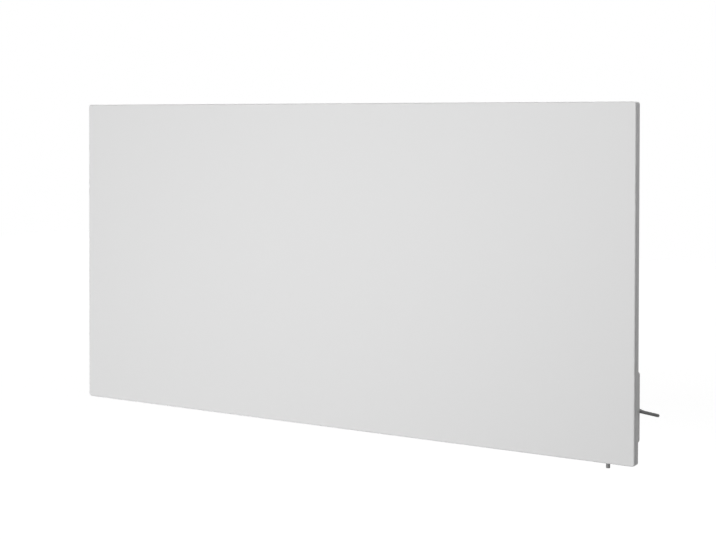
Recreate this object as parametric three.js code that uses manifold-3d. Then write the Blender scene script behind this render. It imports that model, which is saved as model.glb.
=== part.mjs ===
// Wall-hung infrared panel heater, in millimetres. X runs along the panel, Y towards the wall and Z up.
// The origin is the middle of the wall rail's back face, so the wall is the plane y = 0.
import * as THREE from "three";
import { mergeVertices } from "three/addons/utils/BufferGeometryUtils.js";
import Module from "manifold-3d";

const wasm = await Module();
wasm.setup();

// Driving dimensions.
const PANEL_WIDTH = 1200;
const PANEL_HEIGHT = 600;
const PANEL_DEPTH = 20;
const PANEL_CORNER = 5; // radius of its four corners, seen from the front
const WALL_GAP = 68; // from the panel's back to the wall
const RAIL_BELOW_TOP = 100; // the wall rail's middle, under the panel's top edge
const SEAT_GAP = 0.3; // between faces that touch

// Front pan: folded sheet with a small round on its edge.
const PAN_SHEET = 1.2;
const PAN_ROUND = 1.8;
const PAN_WALL_DEPTH = 3.4;

// Rear tray: a folded sheet whose joggled lip sits inside the pan.
const TRAY_SHEET = 1;
const TRAY_ROUND = 4.5;
const SHADOW_GAP = 1.2; // between the pan's wall and the tray's wall

// Heating layers, from the pan backwards.
const FILM_THICKNESS = 0.6;
const FILM_MARGIN = 12; // from the panel's edge to the film's edge
const BUSBAR_WIDTH = 14;
const BUSBAR_THICKNESS = 0.4;
const BUSBAR_MARGIN = 6; // from the film's edge
const FOIL_THICKNESS = 0.4;
const BOARD_MARGIN = 5; // from the panel's edge to the insulation
const CUTOUT_DIAMETER = 16;
const CUTOUT_HEIGHT = 6;
const CUTOUT_X = 300; // from the panel's middle
const LEAD_DIAMETER = 3;
const LEAD_HOLE_DIAMETER = 5;
const GROOVE_ROOM = 1; // the leads' groove is so much wider than a lead

// Push button in the bottom edge.
const BUTTON_DIAMETER = 7.2;
const BUTTON_FROM_EDGE = 50.8; // from the panel's right edge
const BUTTON_FROM_BACK = 9.2;
const BUTTON_PROUD = 9.2;
const BUTTON_TRAVEL = 2.5;
const BUTTON_CLEARANCE = 0.4; // round the cap
const SHOULDER_HEIGHT = 1.2;
const STEM_DIAMETER = 3.6;
const STEM_IN_SWITCH = 7;
const SLEEVE_WALL = 0.7;
const SLEEVE_LENGTH = 9;
const SWITCH_WIDTH = 13;
const SWITCH_THICKNESS = 7;
const SWITCH_HEIGHT = 16;

// Control box on the back.
const BOX_WIDTH = 110;
const BOX_HEIGHT = 120;
const BOX_DEPTH = 14;
const BOX_INSET = 4; // from the panel's right edge
const BOX_ABOVE_BOTTOM = 33.6;
const BOX_CORNER = 6; // radius of its four corners, seen from the back
const BOX_ROUND = 2.6;
const BOX_WALL = 1.8;
const BOX_SCREW_FROM_SIDE = 9;
const BOX_SCREW_FROM_END = 22;
const BOX_SCREW_DIAMETER = 3;
const SCREW_HEAD_DIAMETER = 5.6;
const SCREW_HEAD_HEIGHT = 1.8;
const PILLAR_DIAMETER = 8;
const CIRCUIT_WIDTH = 64;
const CIRCUIT_HEIGHT = 92;
const CIRCUIT_THICKNESS = 1.6;
const CIRCUIT_FOOT = 2.5; // under the circuit board
const TERMINAL_INSET = 2; // from the circuit board's edge
const TERMINAL_WIDTH = 10;
const TERMINAL_HEIGHT = 6.5;
const TERMINAL_PITCH = 7.5;
const TERMINAL_POLES = 3;
const TERMINAL_SLIT = 1.4; // between two poles
const TERMINAL_FLOOR = 1; // under a lead
const TERMINAL_ENTRY = 3; // how far a lead goes in
const TERMINAL_SCREW_DIAMETER = 3.4;
const RELAY = { width: 19, height: 16, thickness: 6.5 };
const SLOT_FROM_LEFT = 10; // the leads' slot in the tray, from the box's side
const SLOT_ABOVE_BOTTOM = 30; // from the box's bottom
const SLOT_SIZE = 20;
const EARTH_STUD_DIAMETER = 4;
const EARTH_STUD_HEIGHT = 9;
const EARTH_NUT_HEIGHT = 3;
const EARTH_STUD_ABOVE_SLOT = 18;

// Hanging gear.
const RAIL_SHEET = 2;
const RAIL_BEND = 2.5; // inside radius
const WALL_RAIL_LENGTH = 820;
const WALL_RAIL_HEIGHT = 44;
const WALL_RAIL_REACH = 46; // from the wall to the front of its lip
const HOOK_RAIL_LENGTH = 880;
const HOOK_RAIL_HEIGHT = 32;
const LIP_HEIGHT = 18;
const HOOK_DROP = 12; // how far the hook reaches behind the lip
const HOOK_PLAY = 2; // between the hook and the lip
const RAIL_HOLE_DIAMETER = 6.5;
const RAIL_HOLE_SPACING = 240;
const RAIL_HOLE_HEIGHT = 6; // above the rail's middle
const SPACER_FROM_EDGE = 100;
const SPACER_ABOVE_BOTTOM = 200;
const SPACER_DIAMETER = 14;
const SPACER_BASE_DIAMETER = 34;
const SPACER_BASE_HEIGHT = 4;
const PAD_DIAMETER = 22;
const PAD_THICKNESS = 5;

// Mains lead.
const CORD_DIAMETER = 5.6;
const GLAND_FROM_BOX_TOP = 13.6;
const GLAND_FROM_TRAY = 6;
const GLAND_LENGTH = 26;
const GLAND_RIBS = 5;
const GLAND_RIB_DEPTH = 0.7;
const GLAND_TIP_DIAMETER = 7.4;
const GLAND_ROOT_DIAMETER = 9.6;
const GLAND_FLANGE_DIAMETER = 10.4;
const GLAND_FLANGE = 2;
const INNER_END_LENGTH = 18; // inside the box
const CLAMP_FROM_GLAND = 9;
const CLAMP_WIDTH = 7;
const CLAMP_WALL = 1.4;
const CLAMP_HALF = 8; // half its height, with an ear above and below the lead
const COIL_RADIUS = 33.6; // at the middle of the turns
const COIL_TURNS = 6.5;
const COIL_PITCH = 6.1; // between turns side by side
const TIE_WIDTH = 8;
const TIE_THICKNESS = 1.2;
const TIE_CLEARANCE = 0.5;
const TAIL_LENGTH = 34;
const PLUG_DIAMETER = 36;
const PLUG_LENGTH = 34;
const PLUG_BOOT_LENGTH = 22;
const PIN_DIAMETER = 4.8;
const PIN_LENGTH = 19;
const PIN_ROOT = 6; // how far a pin goes into the plug
const PIN_SPACING = 19;

// Places worked out from them.
const RIGHT = PANEL_WIDTH / 2;
const TOP = RAIL_BELOW_TOP;
const BOTTOM = TOP - PANEL_HEIGHT;
const MIDDLE = (TOP + BOTTOM) / 2;
const BACK = -WALL_GAP;
const FACE = BACK - PANEL_DEPTH;

const ALONG = new THREE.Vector3(1, 0, 0);
const LEFTWARD = new THREE.Vector3(-1, 0, 0);
const TOWARDS_WALL = new THREE.Vector3(0, 1, 0);
const UP = new THREE.Vector3(0, 0, 1);
const DOWN = new THREE.Vector3(0, 0, -1);

const group = new THREE.Group();

// ---- Making solids ----

function solid(geometry) {
  const bare = geometry.clone();
  bare.deleteAttribute("normal");
  bare.deleteAttribute("uv");
  const merged = mergeVertices(bare, 1e-4);
  return new wasm.Manifold(
    new wasm.Mesh({
      numProp: 3,
      vertProperties: merged.attributes.position.array,
      triVerts: new Uint32Array(merged.index.array),
    }),
  );
}

function geometryOf(made) {
  const mesh = made.getMesh();
  const geometry = new THREE.BufferGeometry();
  geometry.setAttribute("position", new THREE.BufferAttribute(mesh.vertProperties, 3));
  geometry.setIndex(new THREE.BufferAttribute(mesh.triVerts, 1));
  geometry.computeVertexNormals();
  return geometry;
}

function finish(color, roughness, metalness = 0) {
  return new THREE.MeshStandardMaterial({ color, roughness, metalness });
}

// shape is a geometry, or a solid that has been cut or joined.
function add(name, shape, material) {
  const mesh = new THREE.Mesh(shape.isBufferGeometry ? shape : geometryOf(shape), material);
  mesh.name = name;
  group.add(mesh);
  return mesh;
}

function block(x0, x1, y0, y1, z0, z1) {
  const box = new THREE.BoxGeometry(x1 - x0, y1 - y0, z1 - z0);
  return solid(box.translate((x0 + x1) / 2, (y0 + y1) / 2, (z0 + z1) / 2));
}

// An outline seen from the front: a box's edges and the radius of its corners, all moved inwards alike.
function inset(box, by) {
  return { x0: box.x0 + by, x1: box.x1 - by, z0: box.z0 + by, z1: box.z1 - by, corner: box.corner - by };
}

function blockIn(box, y0, y1) {
  return block(box.x0, box.x1, y0, y1, box.z0, box.z1);
}

function cornered({ x0, x1, z0, z1, corner }) {
  const shape = new THREE.Shape();
  shape.absarc(x1 - corner, z0 + corner, corner, -Math.PI / 2, 0);
  shape.absarc(x1 - corner, z1 - corner, corner, 0, Math.PI / 2);
  shape.absarc(x0 + corner, z1 - corner, corner, Math.PI / 2, Math.PI);
  shape.absarc(x0 + corner, z0 + corner, corner, Math.PI, 1.5 * Math.PI);
  return shape;
}

// An upright slab with round corners.
function slabIn(box, y0, y1) {
  const made = new THREE.ExtrudeGeometry(cornered(box), {
    depth: y1 - y0,
    curveSegments: 3,
    bevelEnabled: false,
  });
  return solid(made.rotateX(Math.PI / 2).translate(0, y1, 0));
}

// The same, with its edge rounded on one side, "front" or "back".
function roundedSlab(box, { y0, y1, round, side, steps = 5 }) {
  const depth = y1 - y0;
  const made = new THREE.ExtrudeGeometry(cornered(inset(box, round)), {
    depth,
    curveSegments: 3,
    bevelSize: round,
    bevelThickness: round,
    bevelSegments: steps,
  }).rotateX(Math.PI / 2);
  made.translate(0, side === "back" ? y1 - round : y0 + depth + round, 0);
  return solid(made).intersect(blockIn(inset(box, -1), y0, y1));
}

// A turned piece. The profile is (radius, height) pairs from the axis and back to it, or closed on itself.
function turned(profile, place, direction, segments = 24) {
  const points = profile.map(([radius, height]) => new THREE.Vector2(radius, height));
  if (THREE.ShapeUtils.area(points) < 0) points.reverse();
  const spin = new THREE.Quaternion().setFromUnitVectors(new THREE.Vector3(0, 1, 0), direction);
  return new THREE.LatheGeometry(points, segments).applyQuaternion(spin).translate(...place);
}

function cylinder(radius, length, place, direction, segments = 24) {
  return turned([[0, 0], [radius, 0], [radius, length], [0, length]], place, direction, segments);
}

function ring(inner, outer, height, place, direction, segments = 24) {
  const profile = [[inner, 0], [outer, 0], [outer, height], [inner, height], [inner, 0]];
  return turned(profile, place, direction, segments);
}

// Cuts (y, z) out of X: the section of a folded sheet that follows the corners, with round bends.
function foldedSheet(corners, x0, x1) {
  const middle = [];
  const bend = RAIL_BEND + RAIL_SHEET / 2;
  corners.forEach((corner, i) => {
    const here = new THREE.Vector2(...corner);
    if (i === 0 || i === corners.length - 1) return middle.push(here);
    const before = new THREE.Vector2(...corners[i - 1]).sub(here).normalize().multiplyScalar(bend);
    const after = new THREE.Vector2(...corners[i + 1]).sub(here).normalize().multiplyScalar(bend);
    const hub = here.clone().add(before).add(after);
    for (let step = 0; step <= 4; step++) {
      const angle = (step / 4) * (Math.PI / 2);
      middle.push(
        hub.clone().addScaledVector(after, -Math.cos(angle)).addScaledVector(before, -Math.sin(angle)),
      );
    }
  });
  const sides = [1, -1].map((side) =>
    middle.map((point, i) => {
      const along = middle[Math.min(i + 1, middle.length - 1)].clone().sub(middle[Math.max(i - 1, 0)]);
      const across = new THREE.Vector2(-along.y, along.x).normalize();
      return point.clone().addScaledVector(across, (side * RAIL_SHEET) / 2);
    }),
  );
  const shape = new THREE.Shape([...sides[0], ...sides[1].reverse()]);
  const turn = new THREE.Matrix4().makeBasis(TOWARDS_WALL, UP, ALONG);
  return new THREE.ExtrudeGeometry(shape, { depth: x1 - x0, bevelEnabled: false })
    .applyMatrix4(turn)
    .translate(x0, 0, 0);
}

// A round tube along a curve.
function tube(curve, diameter, sides, steps) {
  const section = new THREE.Shape();
  for (let i = 0; i < sides; i++) {
    const angle = (i / sides) * 2 * Math.PI;
    const point = [(diameter / 2) * Math.cos(angle), (diameter / 2) * Math.sin(angle)];
    if (i === 0) section.moveTo(...point);
    else section.lineTo(...point);
  }
  section.closePath();
  return new THREE.ExtrudeGeometry(section, { steps, extrudePath: curve });
}

// The same through chosen points, with so many steps to each span, so that bends get more than straight runs.
function tubeThrough(points, diameter, sides, stepsPerSpan) {
  const places = points.map((point) => new THREE.Vector3(...point));
  const curve = new THREE.CatmullRomCurve3(places, false, "centripetal");
  curve.getUtoTmapping = (share) => share;
  return tube(curve, diameter, sides, stepsPerSpan * (points.length - 1));
}

// ---- Finishes ----

const whiteEnamel = finish(0xe5e5e5, 0.45);
const trayEnamel = finish(0xdcdcdc, 0.5);
const lightPlastic = finish(0xcdcdcc, 0.6);
const galvanised = finish(0xa9adb0, 0.45, 0.8);
const heatingFilm = finish(0x26262a, 0.7);
const copper = finish(0xb87450, 0.4, 0.9);
const aluminiumFoil = finish(0xd0d2d4, 0.3, 0.9);
const mineralBoard = finish(0xd9cfae, 0.95);
const greyPlastic = finish(0x8d8f90, 0.55);
const blackPlastic = finish(0x26282a, 0.5);
const darkRubber = finish(0x4c4e50, 0.7);
const blackRubber = finish(0x202122, 0.85);
const circuitGreen = finish(0x1f5b3a, 0.5);
const steel = finish(0xb0b3b6, 0.35, 0.9);
const brass = finish(0xc9a85a, 0.35, 0.9);
const redSleeve = finish(0x8a4a2c, 0.6);
const blueSleeve = finish(0x2f5f9a, 0.6);

// ---- Front pan: the heated face, folded back by a small wall all round ----

const panBox = { x0: -RIGHT, x1: RIGHT, z0: BOTTOM, z1: TOP, corner: PANEL_CORNER };
const panInside = FACE + PAN_SHEET;
const panWallEnd = FACE + PAN_WALL_DEPTH;

add(
  "front_panel",
  roundedSlab(panBox, { y0: FACE, y1: panWallEnd, round: PAN_ROUND, side: "front", steps: 3 }).subtract(
    slabIn(inset(panBox, PAN_SHEET), panInside, panWallEnd + 1),
  ),
  whiteEnamel,
);

// ---- Rear tray: rounded back edges, and a joggled lip that plugs into the pan ----

const trayFront = panWallEnd + SHADOW_GAP;
const trayInside = BACK - TRAY_SHEET;
const lipOut = PAN_SHEET + SEAT_GAP; // the lip's outside, from the panel's edge
const lipIn = lipOut + TRAY_SHEET;
const lipEnd = panInside + SEAT_GAP;

const boxRight = RIGHT - BOX_INSET;
const boxLeft = boxRight - BOX_WIDTH;
const boxBottom = BOTTOM + BOX_ABOVE_BOTTOM;
const boxTop = boxBottom + BOX_HEIGHT;
const boxBack = BACK + BOX_DEPTH;
const screwPlaces = [boxLeft + BOX_SCREW_FROM_SIDE, boxRight - BOX_SCREW_FROM_SIDE].flatMap((x) =>
  [boxBottom + BOX_SCREW_FROM_END, boxTop - BOX_SCREW_FROM_END].map((z) => [x, z]),
);

const buttonX = RIGHT - BUTTON_FROM_EDGE;
const buttonY = BACK - BUTTON_FROM_BACK;
const sleeveBore = BUTTON_DIAMETER / 2 + BUTTON_CLEARANCE;
const sleeveRadius = sleeveBore + SLEEVE_WALL;

// The leads pass from the panel into the box through this slot.
const slot = {
  x0: boxLeft + SLOT_FROM_LEFT,
  x1: boxLeft + SLOT_FROM_LEFT + SLOT_SIZE,
  z0: boxBottom + SLOT_ABOVE_BOTTOM,
  z1: boxBottom + SLOT_ABOVE_BOTTOM + SLOT_SIZE,
};
const leadZ = (slot.z0 + slot.z1) / 2;

let tray = roundedSlab(panBox, { y0: trayFront, y1: BACK, round: TRAY_ROUND, side: "back" });
tray = tray.subtract(
  roundedSlab(inset(panBox, TRAY_SHEET), {
    y0: trayFront - 1,
    y1: trayInside,
    round: TRAY_ROUND - TRAY_SHEET,
    side: "back",
  }),
);
const joggle = slabIn(panBox, trayFront, trayFront + TRAY_SHEET)
  .add(slabIn(inset(panBox, lipOut), lipEnd, trayFront + TRAY_SHEET))
  .subtract(slabIn(inset(panBox, lipIn), lipEnd - 1, trayFront + TRAY_SHEET + 1));
tray = tray.add(joggle).subtract(blockIn(slot, trayInside - 1, BACK + 1));
for (const [x, z] of screwPlaces)
  tray = tray.subtract(
    solid(cylinder(BOX_SCREW_DIAMETER / 2 + SEAT_GAP, 4, [x, trayInside - 1, z], TOWARDS_WALL, 12)),
  );
tray = tray.subtract(
  solid(cylinder(sleeveRadius + SEAT_GAP, 2 * lipIn, [buttonX, buttonY, BOTTOM - 1], UP, 24)),
);
add("rear_tray", tray, trayEnamel);

// ---- Heating film with its two busbars, reflector foil and insulation board ----

const filmFront = panInside + SEAT_GAP;
const filmBack = filmFront + FILM_THICKNESS;
const filmBox = inset(panBox, FILM_MARGIN);
add("heating_film", blockIn(filmBox, filmFront, filmBack), heatingFilm);

const busFront = filmBack + SEAT_GAP;
const busBack = busFront + BUSBAR_THICKNESS;
const busX = filmBox.x1 - BUSBAR_MARGIN - BUSBAR_WIDTH / 2;
for (const [name, x] of [["busbar_left", -busX], ["busbar_right", busX]])
  add(
    name,
    block(
      x - BUSBAR_WIDTH / 2,
      x + BUSBAR_WIDTH / 2,
      busFront,
      busBack,
      filmBox.z0 + BUSBAR_MARGIN,
      filmBox.z1 - BUSBAR_MARGIN,
    ),
    copper,
  );

const leadHoles = [-busX, busX].map((x) => [x, leadZ]);
const foilFront = busBack + SEAT_GAP;
const foilBack = foilFront + FOIL_THICKNESS;
let foil = blockIn(filmBox, foilFront, foilBack);
for (const [x, z] of leadHoles)
  foil = foil.subtract(
    solid(cylinder(LEAD_HOLE_DIAMETER / 2, 4, [x, foilFront - 1, z], TOWARDS_WALL, 12)),
  );
add("reflector_foil", foil, aluminiumFoil);

const boardFront = foilBack + SEAT_GAP;
const boardBack = trayInside - SEAT_GAP;
const switchBottom = BOTTOM + SLEEVE_LENGTH + SEAT_GAP;
const groove = LEAD_DIAMETER + GROOVE_ROOM; // the leads' groove in the back of the board
let board = blockIn(inset(panBox, BOARD_MARGIN), boardFront, boardBack);
for (const [x, z] of leadHoles)
  board = board.subtract(
    solid(cylinder(LEAD_HOLE_DIAMETER / 2, PANEL_DEPTH, [x, boardFront - 1, z], TOWARDS_WALL, 12)),
  );
const leadTurn = LEAD_DIAMETER + 2; // room for a lead to turn into its groove
const grooveBox = { x0: -busX, x1: busX, z0: leadZ - groove / 2, z1: leadZ + groove / 2 };
board = board
  .subtract(blockIn(grooveBox, boardBack - groove, boardBack + 1))
  .subtract(blockIn({ ...grooveBox, x1: leadTurn - busX }, boardFront - 1, boardBack + 1))
  .subtract(blockIn({ ...grooveBox, x0: busX - leadTurn }, boardFront - 1, boardBack + 1))
  .subtract(blockIn(slot, boardBack - groove - 0.5, boardBack + 1))
  .subtract(
    block(
      buttonX - SWITCH_WIDTH / 2 - 1,
      buttonX + SWITCH_WIDTH / 2 + 1,
      boardFront - 1,
      boardBack + 1,
      BOTTOM,
      switchBottom + SWITCH_HEIGHT + 1,
    ),
  );
for (const [x, z] of screwPlaces)
  board = board.subtract(
    solid(cylinder(BOX_SCREW_DIAMETER / 2 + 1, 4, [x, boardBack - 3, z], TOWARDS_WALL, 12)),
  );
const cutoutX = [-CUTOUT_X, CUTOUT_X];
for (const x of cutoutX)
  board = board.subtract(
    solid(
      cylinder(
        CUTOUT_DIAMETER / 2 + SEAT_GAP,
        CUTOUT_HEIGHT + 2 * SEAT_GAP + 1,
        [x, boardFront - 1, MIDDLE],
        TOWARDS_WALL,
      ),
    ),
  );
add("insulation_board", board, mineralBoard);

// Bimetal cut-outs, let into the board's face behind the foil.
cutoutX.forEach((x, i) => {
  const radius = CUTOUT_DIAMETER / 2;
  const cap = CUTOUT_HEIGHT / 3;
  const profile = [
    [0, 0],
    [radius - 1.5, 0],
    [radius - 1, cap],
    [radius, cap],
    [radius, CUTOUT_HEIGHT],
    [0, CUTOUT_HEIGHT],
  ];
  add(
    ["thermal_cutout_left", "thermal_cutout_right"][i],
    turned(profile, [x, boardFront + SEAT_GAP / 2, MIDDLE], TOWARDS_WALL, 20),
    steel,
  );
});

// ---- Push button: its cap slides in a sleeve in the bottom edge and its stem works the switch ----

add(
  "button_sleeve",
  ring(sleeveBore, sleeveRadius, SLEEVE_LENGTH, [buttonX, buttonY, BOTTOM], UP, 24),
  blackPlastic,
);

const stemBore = STEM_DIAMETER / 2 + 0.4;
const capTop = BOTTOM + SLEEVE_LENGTH - BUTTON_TRAVEL - SEAT_GAP; // at rest
const stemTop = switchBottom + STEM_IN_SWITCH;
const capHeight = capTop - (BOTTOM - BUTTON_PROUD);
const buttonProfile = [
  [0, 0],
  [BUTTON_DIAMETER / 2 - 0.5, 0],
  [BUTTON_DIAMETER / 2, 0.5],
  [BUTTON_DIAMETER / 2, capHeight - SHOULDER_HEIGHT],
  [BUTTON_DIAMETER / 2 - 0.6, capHeight],
  [STEM_DIAMETER / 2, capHeight],
  [STEM_DIAMETER / 2, stemTop - capTop + capHeight],
  [0, stemTop - capTop + capHeight],
];
add(
  "push_button",
  turned(buttonProfile, [buttonX, buttonY, BOTTOM - BUTTON_PROUD], UP, 24),
  greyPlastic,
);

const switchBody = block(
  buttonX - SWITCH_WIDTH / 2,
  buttonX + SWITCH_WIDTH / 2,
  buttonY - SWITCH_THICKNESS / 2,
  buttonY + SWITCH_THICKNESS / 2,
  switchBottom,
  switchBottom + SWITCH_HEIGHT,
).subtract(
  solid(
    cylinder(
      stemBore,
      stemTop - switchBottom + BUTTON_TRAVEL + 2,
      [buttonX, buttonY, switchBottom - 1],
      UP,
      16,
    ),
  ),
);
add("switch_body", switchBody, blackPlastic);

// ---- Control box: a moulded cover with screw pillars over a circuit board ----

const coverFront = BACK + SEAT_GAP;
const glandZ = boxTop - GLAND_FROM_BOX_TOP;
const glandY = BACK + GLAND_FROM_TRAY;
const glandNeck = GLAND_ROOT_DIAMETER / 2 - 0.8;
const coverBox = { x0: boxLeft, x1: boxRight, z0: boxBottom, z1: boxTop, corner: BOX_CORNER };
let cover = roundedSlab(coverBox, { y0: coverFront, y1: boxBack, round: BOX_ROUND, side: "back" });
cover = cover.subtract(
  roundedSlab(inset(coverBox, BOX_WALL), {
    y0: coverFront - 1,
    y1: boxBack - BOX_WALL,
    round: BOX_ROUND - BOX_WALL,
    side: "back",
    steps: 3,
  }),
);
const headSeat = boxBack - SCREW_HEAD_HEIGHT;
for (const [x, z] of screwPlaces)
  cover = cover
    .add(solid(cylinder(PILLAR_DIAMETER / 2, boxBack - 1 - coverFront, [x, coverFront, z], TOWARDS_WALL)))
    .subtract(
      solid(
        cylinder(BOX_SCREW_DIAMETER / 2 + SEAT_GAP, 2 * BOX_DEPTH, [x, BACK - 1, z], TOWARDS_WALL, 16),
      ),
    )
    .subtract(
      solid(
        cylinder(SCREW_HEAD_DIAMETER / 2 + 0.4, SCREW_HEAD_HEIGHT + 1, [x, headSeat, z], TOWARDS_WALL, 20),
      ),
    );
cover = cover.subtract(
  solid(
    cylinder(glandNeck + SEAT_GAP, 2 * BOX_WALL + 2, [boxLeft + BOX_WALL + 1, glandY, glandZ], LEFTWARD),
  ),
);
add("control_box_cover", cover, lightPlastic);

screwPlaces.forEach(([x, z], i) => {
  const head = SCREW_HEAD_DIAMETER / 2;
  const shank = headSeat + SEAT_GAP - trayInside;
  const profile = [
    [0, 0],
    [BOX_SCREW_DIAMETER / 2, 0],
    [BOX_SCREW_DIAMETER / 2, shank],
    [head, shank],
    [head, shank + SCREW_HEAD_HEIGHT - 1],
    [head - 0.8, shank + SCREW_HEAD_HEIGHT - 0.4],
    [0, shank + SCREW_HEAD_HEIGHT - 0.4],
  ];
  add(`cover_screw_${i + 1}`, turned(profile, [x, trayInside, z], TOWARDS_WALL, 16), steel);
});

const circuitX1 = boxRight - BOX_WALL - PILLAR_DIAMETER - 4;
const circuitX0 = circuitX1 - CIRCUIT_WIDTH;
const circuitZ0 = (boxBottom + boxTop) / 2 - CIRCUIT_HEIGHT / 2;
const circuitZ1 = circuitZ0 + CIRCUIT_HEIGHT;
const circuitFront = BACK + SEAT_GAP + CIRCUIT_FOOT;
const circuitBack = circuitFront + CIRCUIT_THICKNESS;
let circuit = block(circuitX0, circuitX1, circuitFront, circuitBack, circuitZ0, circuitZ1);
for (const x of [circuitX0 + 5, circuitX1 - 5])
  for (const z of [circuitZ0 + 5, circuitZ1 - 5])
    circuit = circuit.add(solid(cylinder(3, CIRCUIT_FOOT + 0.5, [x, BACK + SEAT_GAP, z], TOWARDS_WALL, 12)));
add("circuit_board", circuit, circuitGreen);

const partFront = circuitBack + SEAT_GAP;
const relayX = (circuitX0 + circuitX1) / 2;
const relayZ = (circuitZ0 + circuitZ1) / 2;
add(
  "relay",
  block(
    relayX,
    relayX + RELAY.width,
    partFront,
    partFront + RELAY.thickness,
    relayZ,
    relayZ + RELAY.height,
  ),
  blackPlastic,
);

// Terminal block: one barrel a pole on a common base, each with a hole for its lead and one for its screw.
const terminalX0 = circuitX0 + TERMINAL_INSET;
const terminalX1 = terminalX0 + TERMINAL_WIDTH;
const terminalTop = partFront + TERMINAL_HEIGHT;
const terminalHalf = (TERMINAL_POLES * TERMINAL_PITCH) / 2;
const leadRadius = LEAD_DIAMETER / 2;
const entryY = partFront + TERMINAL_FLOOR + leadRadius + SEAT_GAP;
let terminal = block(terminalX0, terminalX1, partFront, entryY, leadZ - terminalHalf, leadZ + terminalHalf);
for (let pole = 0; pole < TERMINAL_POLES; pole++) {
  const z = leadZ - terminalHalf + (pole + 0.5) * TERMINAL_PITCH;
  const barrelHalf = (TERMINAL_PITCH - TERMINAL_SLIT) / 2;
  terminal = terminal
    .add(block(terminalX0, terminalX1, partFront, terminalTop, z - barrelHalf, z + barrelHalf))
    .subtract(
      solid(
        cylinder(leadRadius + SEAT_GAP, TERMINAL_ENTRY + 1, [terminalX0 - 1, entryY, z], ALONG, 12),
      ),
    )
    .subtract(
      solid(
        cylinder(
          TERMINAL_SCREW_DIAMETER / 2,
          2,
          [terminalX1 - TERMINAL_SCREW_DIAMETER, terminalTop - 1, z],
          TOWARDS_WALL,
          12,
        ),
      ),
    );
}
add("terminal_block", terminal, blueSleeve);

// Earth stud: a threaded stud with its nut, above the slot.
const earthProfile = [
  [0, 0],
  [EARTH_STUD_DIAMETER, 0],
  [EARTH_STUD_DIAMETER, EARTH_NUT_HEIGHT],
  [EARTH_STUD_DIAMETER / 2, EARTH_NUT_HEIGHT + 0.6],
  [EARTH_STUD_DIAMETER / 2, EARTH_STUD_HEIGHT],
  [0, EARTH_STUD_HEIGHT],
];
const earthPlace = [(slot.x0 + slot.x1) / 2, coverFront, slot.z1 + EARTH_STUD_ABOVE_SLOT];
add("earth_stud", turned(earthProfile, earthPlace, TOWARDS_WALL, 6), brass);

// ---- Leads from the busbars: through the board, along its groove, and into the box ----

const leadY = boardBack - groove / 2;
const leadEnd = terminalX0 + TERMINAL_ENTRY - SEAT_GAP;
const leadRise = entryY - leadY;
const riseX = slot.x0 + 9; // where a lead passes through the tray

// From a busbar's back into the groove; side is +1 where the lead then runs to the right.
function leadStart(x, side) {
  return [
    [x, busBack + SEAT_GAP, leadZ],
    [x, busBack + SEAT_GAP + 2, leadZ],
    [x + side * 1.5, leadY - 2, leadZ],
    [x + side * 5, leadY, leadZ],
    [x + side * 10, leadY, leadZ],
  ];
}
const neutralRoute = [
  ...leadStart(-busX, 1),
  [riseX - 20, leadY, leadZ],
  [riseX - 12, leadY, leadZ],
  [riseX - 5, leadY + 0.15 * leadRise, leadZ + 1],
  [riseX, leadY + 0.5 * leadRise, leadZ + 4],
  [riseX + 4, leadY + 0.88 * leadRise, leadZ + 6],
  [terminalX0 - 1, entryY, leadZ + TERMINAL_PITCH],
  [leadEnd, entryY, leadZ + TERMINAL_PITCH],
];
const liveRoute = [
  ...leadStart(busX, -1),
  [riseX + 20, leadY, leadZ],
  [riseX + 12, leadY, leadZ],
  [riseX + 4, leadY + 0.02 * leadRise, leadZ - 1],
  [riseX - 0.5, leadY + 0.25 * leadRise, leadZ - 3],
  [riseX - 1.5, leadY + 0.55 * leadRise, leadZ - 5],
  [riseX + 1, leadY + 0.85 * leadRise, leadZ - 6.5],
  [terminalX0 - 2, entryY, leadZ - TERMINAL_PITCH],
  [leadEnd, entryY, leadZ - TERMINAL_PITCH],
];
add("lead_neutral", tubeThrough(neutralRoute, LEAD_DIAMETER, 8, 2), blueSleeve);
add("lead_live", tubeThrough(liveRoute, LEAD_DIAMETER, 8, 2), redSleeve);

// ---- Wall rail and hook rail ----

const railTop = WALL_RAIL_HEIGHT / 2;
const railBottom = -WALL_RAIL_HEIGHT / 2;
const half = RAIL_SHEET / 2;
const wallLipY = -WALL_RAIL_REACH + half;
const lipTop = railBottom + LIP_HEIGHT;
let wallRail = solid(
  foldedSheet(
    [
      [-half, railTop],
      [-half, railBottom + half],
      [wallLipY, railBottom + half],
      [wallLipY, lipTop],
    ],
    -WALL_RAIL_LENGTH / 2,
    WALL_RAIL_LENGTH / 2,
  ),
);
for (const x of [-1.5, -0.5, 0.5, 1.5])
  wallRail = wallRail.subtract(
    solid(
      cylinder(
        RAIL_HOLE_DIAMETER / 2,
        RAIL_SHEET + 2,
        [x * RAIL_HOLE_SPACING, -RAIL_SHEET - 1, RAIL_HOLE_HEIGHT],
        TOWARDS_WALL,
        16,
      ),
    ),
  );
add("wall_rail", wallRail, galvanised);

const hookWeb = lipTop + SEAT_GAP + half;
const hookLipY = wallLipY + RAIL_SHEET + HOOK_PLAY;
const hookBackY = BACK + SEAT_GAP + half;
add(
  "hook_rail",
  foldedSheet(
    [
      [hookBackY, hookWeb + HOOK_RAIL_HEIGHT],
      [hookBackY, hookWeb],
      [hookLipY, hookWeb],
      [hookLipY, lipTop - HOOK_DROP],
    ],
    -HOOK_RAIL_LENGTH / 2,
    HOOK_RAIL_LENGTH / 2,
  ),
  galvanised,
);

// ---- Wall spacers ----

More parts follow.
